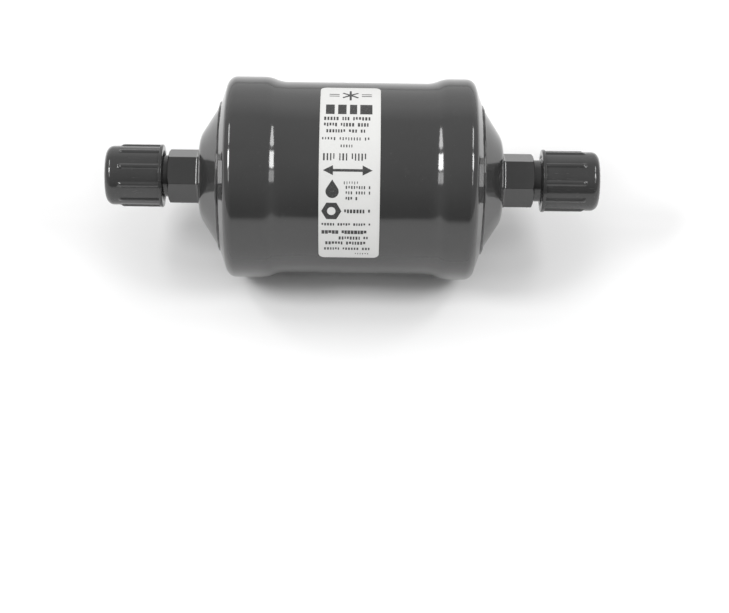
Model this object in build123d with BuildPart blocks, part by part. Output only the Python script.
from build123d import *
import os
from math import cos, hypot, radians, sin

# Bi-flow filter drier for a refrigerant line.
# X runs along the line through the middle of the shell, +Z is up and -Y is the front.
# All sizes are in millimetres. Distances along the line are measured outwards from the middle.

# Shell: one steel tube with a narrower rolled waist, its ends spun in over the end cones
shell_diameter = 66.7
waist_diameter = 63.5
shell_wall = 1.6
waist_left = 21.2
waist_right = 24.7
swage_length = 7.8
corner_radius = 3.4
end_face_rise = 3.05
mouth_diameter = 48.4
lip_round = 0.5

# End cones: pressed steel, flanged inside the shell, with a flat hub for the fitting
cone_wall = 2.0
cone_height = 7.0
hub_diameter = 26.5
hub_round = 8.0
flange_margin = 2.25
seat_clearance = 0.05

# Flare fittings: 5/8-18 male thread with a 45 degree seat for 3/8 inch tube
bore_diameter = 7.1
shank_diameter = 13.0
shank_stub = 1.3
collar_diameter = 16.4
collar_length = 0.3
hex_across_flats = 15.875
hex_length = 10.0
hex_chamfer = 0.5
neck_diameter = 13.8
neck_length = 2.4
thread_diameter = 15.875
thread_length = 11.7
thread_chamfer = 0.6
nose_base_diameter = 14.0
nose_tip_diameter = 9.2
nose_chamfer = 0.4

# Seal caps: ribbed plastic mouldings screwed over the flares; the left one sits further on
cap_gap_left = 1.8
cap_gap_right = 2.8
cap_end_gap = 2.3
cap_floor = 2.0
cap_wall = 1.7
cap_thread_clearance = 0.15
cap_mouth_chamfer = 0.6
cap_dome_radius = 2.5
cap_lip_height = 0.63
cap_lip_length = 1.1
cap_lip_chamfer = 0.3
rib_count = 10
rib_height = 0.55
rib_radius = 0.9
rib_stop = 4.6
rib_run_out = 0.9
rib_turn_left = 29.0
rib_turn_right = 43.0

# Label: a thin sticker wrapped round the front of the waist
label_width = 19.5
label_shift = -0.35
label_arc = 120.6
label_middle_angle = 53.8
label_thickness = 0.15
label_corner_radius = 2.0

# Desiccant core with its pads and screens
flow_gap = 2.5
core_bore_diameter = 10.0
pad_thickness = 1.5
screen_thickness = 0.5
screen_overlap = 2.0

# Core cups, which hold the core's ends and carry its bore through to the valve plates
sheet = 0.8
cup_clearance = 0.2
cup_skirt = 6.0

# Valve plates and check valves
plate_seat = 0.5
plate_wall = 1.6
valve_seat_gap = 0.05
guide_clearance = 0.1
port_count = 8
port_diameter = 4.8
port_margin = 0.7
ring_thickness = 0.6
ring_overlap = 2.1
inlet_travel = 1.5
inlet_wire = 0.6
inlet_turns = 1.75
inlet_coil_diameter = 20.0
poppet_overlap = 1.3
poppet_thickness = 1.2
stem_diameter = 3.0
stem_reach = 1.0
outlet_travel = 3.0
outlet_wire = 0.6
outlet_turns = 4.0
outlet_coil_diameter = 8.4
cage_gap = 1.3
cage_flange = 2.0
cage_leg_count = 3
cage_leg_width = 4.0
spring_play = 0.05

# Core spring: a slotted disc spring between the left cone's flange and the left valve plate
spring_room = 3.0
spring_sheet = 0.8
spring_width = 7.5
spring_slot_count = 10
spring_slot_width = 3.0
spring_slot_length = 4.0

# Shell radii, and the slope of its spun-in end faces
shell_radius = shell_diameter / 2
waist_radius = waist_diameter / 2
shell_bore_radius = shell_radius - shell_wall
narrow_bore_radius = min(shell_radius, waist_radius) - shell_wall
mouth_radius = mouth_diameter / 2
face_lean = end_face_rise / (shell_radius - mouth_radius)
face_stretch = hypot(1, face_lean)

# Check valve stack, from the wider end of the waist outwards
plate_inner = max(waist_left, waist_right) + swage_length + plate_seat
plate_outer = plate_inner + plate_wall
plate_radius = shell_bore_radius - seat_clearance
inlet_spring_room = inlet_wire * (inlet_turns + 1) + inlet_travel + 2 * spring_play
ring_outer = plate_inner - valve_seat_gap
ring_inner = ring_outer - ring_thickness
cup_outer = ring_inner - inlet_spring_room
cup_inner = cup_outer - sheet
core_end = cup_inner - pad_thickness
outlet_spring_room = outlet_wire * (outlet_turns + 1) + outlet_travel + 2 * spring_play
poppet_inner = plate_outer + valve_seat_gap
poppet_outer = poppet_inner + poppet_thickness
cage_inner = poppet_outer + outlet_spring_room
cage_outer = cage_inner + sheet
stem_tip = cage_outer + stem_reach

# Radii of the stack
core_bore_radius = core_bore_diameter / 2
core_radius = narrow_bore_radius - flow_gap
screen_radius = core_bore_radius + screen_overlap
cup_radius = core_radius + cup_clearance + sheet
neck_tube_radius = core_bore_radius + sheet
poppet_radius = core_bore_radius + poppet_overlap
cage_radius = poppet_radius + cage_gap + sheet
cage_flange_radius = cage_radius + cage_flange
port_radius = port_diameter / 2
port_circle_radius = cage_flange_radius + port_margin + port_radius
ring_radius = port_circle_radius + port_radius + ring_overlap
ring_bore_radius = neck_tube_radius + guide_clearance
stem_radius = stem_diameter / 2

# End cones: the flange lies against the inside of the spun-in face
flange_radius = shell_bore_radius - flange_margin
flange_drop = (shell_wall + seat_clearance + cone_wall) * face_stretch
flange_inner = plate_outer + spring_room
shoulder = flange_inner + flange_drop - (shell_radius - flange_radius) * face_lean
lip = shoulder + end_face_rise
hub = lip + cone_height
hub_radius = hub_diameter / 2
step_radius = mouth_radius - seat_clearance
cone_lean = cone_height / (step_radius - hub_radius)
shank_radius = shank_diameter / 2
shank_hole_radius = shank_radius + seat_clearance

# Fitting and cap positions
hex_start = hub + collar_length
hex_end = hex_start + hex_length
neck_end = hex_end + neck_length
thread_end = neck_end + thread_length
nose_base_radius = nose_base_diameter / 2
nose_tip_radius = nose_tip_diameter / 2
nose_tip = thread_end + nose_base_radius - nose_tip_radius
bore_radius = bore_diameter / 2
thread_radius = thread_diameter / 2
cap_depth = nose_tip - hex_end - min(cap_gap_left, cap_gap_right) + cap_end_gap
cap_length = cap_depth + cap_floor
cap_bore_radius = thread_radius + cap_thread_clearance
cap_radius = cap_bore_radius + cap_wall

os.makedirs("parts", exist_ok=True)


def save(piece, name):
    """Label a finished piece and write it as its own file."""
    piece.part.label = name
    export_step(piece.part, f"parts/{name}.step")


def across(side, distance, turn=0.0):
    """A plane across the line, facing outwards on that side, its x axis turned up from the front."""
    x_dir = (0, -cos(radians(turn)), sin(radians(turn)))
    return Plane(origin=(side * distance, 0, 0), x_dir=x_dir, z_dir=(side, 0, 0))


def section(side, *corners):
    """A closed outline to revolve about the line, each corner given as (distance, radius)."""
    with BuildSketch(Plane.XY) as outline:
        with BuildLine():
            Polyline(*[(side * distance, radius) for distance, radius in corners], close=True)
        make_face()
    return outline.sketch


def face_distance(radius, depth=0.0):
    """Distance of the spun-in end face at this radius, this deep below its outer surface."""
    return shoulder + (shell_radius - radius) * face_lean - depth * face_stretch


def shell_form(inset):
    """Half of the shell's form in section, drawn in by the inset and closed along the axis."""
    land = shell_radius - inset
    waist = waist_radius - inset
    end = face_distance(mouth_radius, inset)
    corner = face_distance(land, inset)
    with BuildSketch(Plane.XY) as form:
        with BuildLine():
            Polyline((-end, 0), (-end, mouth_radius), (-corner, land), (-waist_left - swage_length, land))
            swage(-waist_left - swage_length, land, -waist_left, waist)
            Line((-waist_left, waist), (waist_right, waist))
            swage(waist_right, waist, waist_right + swage_length, land)
            Polyline((waist_right + swage_length, land), (corner, land), (end, mouth_radius), (end, 0), (-end, 0))
        make_face()
        shoulders = [form.vertices().sort_by_distance((x, land))[0] for x in (-corner, corner)]
        fillet(shoulders, radius=corner_radius - inset)
    return form.sketch


def swage(x_start, radius_start, x_end, radius_end):
    """The S-shaped step between two diameters, as two equal arcs that leave both along the axis."""
    middle = ((x_start + x_end) / 2, (radius_start + radius_end) / 2)
    TangentArc((x_start, radius_start), middle, tangent=(1, 0))
    TangentArc(middle, (x_end, radius_end), tangent=(-1, 0), tangent_from_first=False)


def circles(piece, radius):
    """The piece's whole or part round edges of this radius."""
    return [edge for edge in piece.edges().filter_by(GeomType.CIRCLE) if abs(edge.radius - radius) < 0.001]


def coil_spring(side, start, end, coil_diameter, wire, turns):
    """A coil of round wire that fills the room between two distances."""
    height = end - start - wire - 2 * spring_play
    with BuildPart() as spring:
        with BuildLine() as path:
            Helix(
                pitch=height / turns,
                height=height,
                radius=coil_diameter / 2,
                center=(side * (start + spring_play + wire / 2), 0, 0),
                direction=(side, 0, 0),
            )
        with BuildSketch(Plane(origin=path.line @ 0, z_dir=path.line % 0)):
            Circle(wire / 2)
        sweep()
    return spring


# Shell tube, open at both mouths
with BuildPart() as shell_tube:
    revolve(shell_form(0), axis=Axis.X)
    revolve(shell_form(shell_wall), axis=Axis.X, mode=Mode.SUBTRACT)
    with BuildSketch(Plane.YZ):
        Circle(mouth_radius)
    extrude(amount=hub, both=True, mode=Mode.SUBTRACT)
    mouth_edges = shell_tube.edges().filter_by(GeomType.CIRCLE).sort_by(Axis.X)
    fillet([mouth_edges[0], mouth_edges[-1]], radius=lip_round)
save(shell_tube, "shell_tube")

# Label, curved round the waist, with round corners
with BuildPart() as label:
    with BuildSketch(Plane.XY.rotated((180 - label_middle_angle - label_arc / 2, 0, 0))):
        with Locations((label_shift, waist_radius + label_thickness / 2)):
            Rectangle(label_width, label_thickness)
    revolve(axis=Axis.X, revolution_arc=label_arc)
    fillet(label.edges().filter_by(GeomType.LINE).sort_by(SortBy.LENGTH)[:4], radius=label_corner_radius)
save(label, "label")

# Desiccant core: a moulded block with a central bore
with BuildPart() as desiccant_core:
    with BuildSketch(Plane.YZ):
        Circle(core_radius)
        Circle(core_bore_radius, mode=Mode.SUBTRACT)
    extrude(amount=core_end, both=True)
save(desiccant_core, "desiccant_core")

# Core spring on the left, slotted into fingers at its inner edge
with BuildPart() as core_spring:
    spring_outer_radius = flange_radius - spring_play
    spring_inner_radius = spring_outer_radius - spring_width
    near_plate = plate_outer + spring_play
    near_flange = flange_inner - spring_play
    revolve(
        section(
            -1,
            (near_plate, spring_inner_radius),
            (near_plate + spring_sheet, spring_inner_radius),
            (near_flange, spring_outer_radius),
            (near_flange - spring_sheet, spring_outer_radius),
        ),
        axis=Axis.X,
    )
    with BuildSketch(across(-1, plate_outer)):
        with PolarLocations(spring_inner_radius, spring_slot_count):
            Rectangle(2 * spring_slot_length, spring_slot_width)
    extrude(amount=spring_room, mode=Mode.SUBTRACT)
save(core_spring, "core_spring")

for hand, side in (("left", -1), ("right", 1)):
    # End cone: flange, step through the shell's mouth, cone and flat hub
    with BuildPart() as end_cone:
        cone_stretch = hypot(1, cone_lean)
        inner_step = step_radius - cone_wall
        inner_hub = hub_radius - cone_wall * (cone_stretch - 1) / cone_lean
        under_lip = shell_wall + seat_clearance
        with BuildSketch(Plane.XY) as cone_section:
            with BuildLine():
                corners = [
                    (face_distance(flange_radius, under_lip), flange_radius),
                    (face_distance(step_radius, under_lip), step_radius),
                    (lip, step_radius),
                    (hub, hub_radius),
                    (hub, shank_hole_radius),
                    (hub - cone_wall, shank_hole_radius),
                    (hub - cone_wall, inner_hub),
                    (lip + cone_wall * (cone_lean - cone_stretch), inner_step),
                    (face_distance(inner_step, under_lip + cone_wall), inner_step),
                    (flange_inner, flange_radius),
                ]
                Polyline(*[(side * distance, radius) for distance, radius in corners], close=True)
            make_face()
            for distance, radius, rounding in (
                (hub, hub_radius, hub_round),
                (hub - cone_wall, inner_hub, hub_round - cone_wall),
            ):
                bend = cone_section.vertices().sort_by_distance((side * distance, radius))[0]
                fillet(bend, radius=rounding)
        revolve(axis=Axis.X)
    save(end_cone, f"end_cone_{hand}")

    # Flare fitting: hexagon with chamfered corners, then all that is turned round it, then the bore
    with BuildPart() as flare_fitting:
        with BuildSketch(across(side, hex_start, turn=90)):
            RegularPolygon(hex_across_flats / 2, 6, major_radius=False)
        extrude(amount=hex_length)
        corner_radius_of_hex = hex_across_flats / (2 * cos(radians(30)))
        revolve(
            section(
                side,
                (hex_start, 0),
                (hex_start, corner_radius_of_hex - 2 * hex_chamfer),
                (hex_start + hex_chamfer, corner_radius_of_hex),
                (hex_end - hex_chamfer, corner_radius_of_hex),
                (hex_end, corner_radius_of_hex - 2 * hex_chamfer),
                (hex_end, 0),
            ),
            axis=Axis.X,
            mode=Mode.INTERSECT,
        )
        revolve(
            section(
                side,
                (hub - cone_wall - shank_stub, 0),
                (hub - cone_wall - shank_stub, shank_radius),
                (hub, shank_radius),
                (hub, collar_diameter / 2),
                (hex_start, collar_diameter / 2),
                (hex_start, neck_diameter / 2),
                (neck_end, neck_diameter / 2),
                (neck_end, thread_radius - thread_chamfer),
                (neck_end + thread_chamfer, thread_radius),
                (thread_end - thread_chamfer, thread_radius),
                (thread_end, nose_base_radius),
                (nose_tip, nose_tip_radius),
                (nose_tip, 0),
            ),
            axis=Axis.X,
        )
        with BuildSketch(across(side, hub - cone_wall - shank_stub)):
            Circle(bore_radius)
        extrude(amount=nose_tip, mode=Mode.SUBTRACT)
        nose_edge = flare_fitting.edges().filter_by(GeomType.CIRCLE).sort_by_distance((side * nose_tip, 0, 0))[0]
        chamfer(nose_edge, length=nose_chamfer)
    save(flare_fitting, f"flare_fitting_{hand}")

    # Seal cap: domed cup, grip ribs that run out before the closed end, and a lip at the mouth
    cap_mouth = hex_end + (cap_gap_left if side < 0 else cap_gap_right)
    rib_turn = rib_turn_left if side < 0 else rib_turn_right
    cap_end = cap_mouth + cap_length
    rib_end = cap_end - rib_stop
    with BuildPart() as seal_cap:
        with BuildSketch(across(side, cap_mouth)):
            Circle(cap_radius)
        extrude(amount=cap_length)
        closed_edge = seal_cap.edges().filter_by(GeomType.CIRCLE).sort_by_distance((side * cap_end, 0, 0))[0]
        fillet(closed_edge, radius=cap_dome_radius)
        with BuildSketch(across(side, cap_mouth, turn=rib_turn)):
            with PolarLocations(cap_radius + rib_height - rib_radius, rib_count):
                Circle(rib_radius)
        extrude(amount=cap_length - rib_stop)
        rib_crest = cap_radius + rib_height
        run_out = section(
            side,
            (rib_end - rib_run_out, rib_crest),
            (rib_end, cap_radius),
            (rib_end + rib_run_out, cap_radius),
            (rib_end + rib_run_out, rib_crest + rib_height),
            (rib_end - rib_run_out, rib_crest + rib_height),
        )
        revolve(run_out, axis=Axis.X, mode=Mode.SUBTRACT)
        lip_radius = cap_radius + cap_lip_height
        lip_ring = section(
            side,
            (cap_mouth, 0),
            (cap_mouth, lip_radius - cap_lip_chamfer),
            (cap_mouth + cap_lip_chamfer, lip_radius),
            (cap_mouth + cap_lip_length, lip_radius),
            (cap_mouth + cap_lip_length, 0),
        )
        revolve(lip_ring, axis=Axis.X)
        hollow = section(
            side,
            (cap_mouth, 0),
            (cap_mouth, cap_bore_radius + cap_mouth_chamfer),
            (cap_mouth + cap_mouth_chamfer, cap_bore_radius),
            (cap_mouth + cap_depth, cap_bore_radius),
            (cap_mouth + cap_depth, 0),
        )
        revolve(hollow, axis=Axis.X, mode=Mode.SUBTRACT)
    save(seal_cap, f"seal_cap_{hand}")

    # Core pad and screen: the pad seals the core's end round the screen over its bore
    with BuildPart() as core_pad:
        with BuildSketch(across(side, core_end)):
            Circle(core_radius)
            Circle(screen_radius + seat_clearance, mode=Mode.SUBTRACT)
        extrude(amount=pad_thickness)
    save(core_pad, f"core_pad_{hand}")

    with BuildPart() as screen:
        with BuildSketch(across(side, cup_inner - screen_thickness)):
            Circle(screen_radius)
        extrude(amount=screen_thickness)
    save(screen, f"screen_{hand}")

    # Core cup: skirt round the core's end, and a neck that meets the valve plate round its port
    with BuildPart() as core_cup:
        revolve(
            section(
                side,
                (cup_inner, core_bore_radius),
                (plate_inner, core_bore_radius),
                (plate_inner, neck_tube_radius),
                (cup_outer, neck_tube_radius),
                (cup_outer, cup_radius),
                (core_end - cup_skirt, cup_radius),
                (core_end - cup_skirt, cup_radius - sheet),
                (cup_inner, cup_radius - sheet),
            ),
            axis=Axis.X,
        )
        fillet(circles(core_cup, cup_radius), radius=sheet / 2)
    save(core_cup, f"core_cup_{hand}")

    # Valve plate: outlet port in the middle, ringed by the inlet ports
    with BuildPart() as valve_plate:
        with BuildSketch(across(side, plate_inner)):
            Circle(plate_radius)
            Circle(core_bore_radius, mode=Mode.SUBTRACT)
            with PolarLocations(port_circle_radius, port_count):
                Circle(port_radius, mode=Mode.SUBTRACT)
        extrude(amount=plate_wall)
    save(valve_plate, f"valve_plate_{hand}")

    # Inlet valve: a flat ring that covers the inlet ports and slides on the cup's neck
    with BuildPart() as inlet_valve:
        with BuildSketch(across(side, ring_inner)):
            Circle(ring_radius)
            Circle(ring_bore_radius, mode=Mode.SUBTRACT)
        extrude(amount=ring_thickness)
    save(inlet_valve, f"inlet_valve_{hand}")

    inlet_spring = coil_spring(side, cup_outer, ring_inner, inlet_coil_diameter, inlet_wire, inlet_turns)
    save(inlet_spring, f"inlet_spring_{hand}")

    # Outlet poppet: a disc over the outlet port, guided by its stem
    with BuildPart() as outlet_poppet:
        with BuildSketch(across(side, poppet_inner)):
            Circle(poppet_radius)
        extrude(amount=poppet_thickness)
        with BuildSketch(across(side, poppet_outer)):
            Circle(stem_radius)
        extrude(amount=stem_tip - poppet_outer)
        tip_edge = outlet_poppet.edges().filter_by(GeomType.CIRCLE).sort_by_distance((side * stem_tip, 0, 0))[0]
        chamfer(tip_edge, length=stem_radius / 3)
    save(outlet_poppet, f"outlet_poppet_{hand}")

    # Poppet cage: flanged cup on the valve plate, with windows between its legs and a stem guide
    with BuildPart() as poppet_cage:
        revolve(
            section(
                side,
                (plate_outer, cage_radius - sheet),
                (plate_outer, cage_flange_radius),
                (plate_outer + sheet, cage_flange_radius),
                (plate_outer + sheet, cage_radius),
                (cage_outer, cage_radius),
                (cage_outer, stem_radius + guide_clearance),
                (cage_inner, stem_radius + guide_clearance),
                (cage_inner, cage_radius - sheet),
            ),
            axis=Axis.X,
        )
        with BuildSketch(across(side, plate_outer + sheet)):
            Circle(cage_radius)
            with PolarLocations(0, cage_leg_count):
                with Locations((cage_radius / 2, 0)):
                    Rectangle(cage_radius, cage_leg_width, mode=Mode.SUBTRACT)
        extrude(amount=cage_inner - plate_outer - sheet, mode=Mode.SUBTRACT)
    save(poppet_cage, f"poppet_cage_{hand}")

    outlet_spring = coil_spring(side, poppet_outer, cage_inner, outlet_coil_diameter, outlet_wire, outlet_turns)
    save(outlet_spring, f"outlet_spring_{hand}")
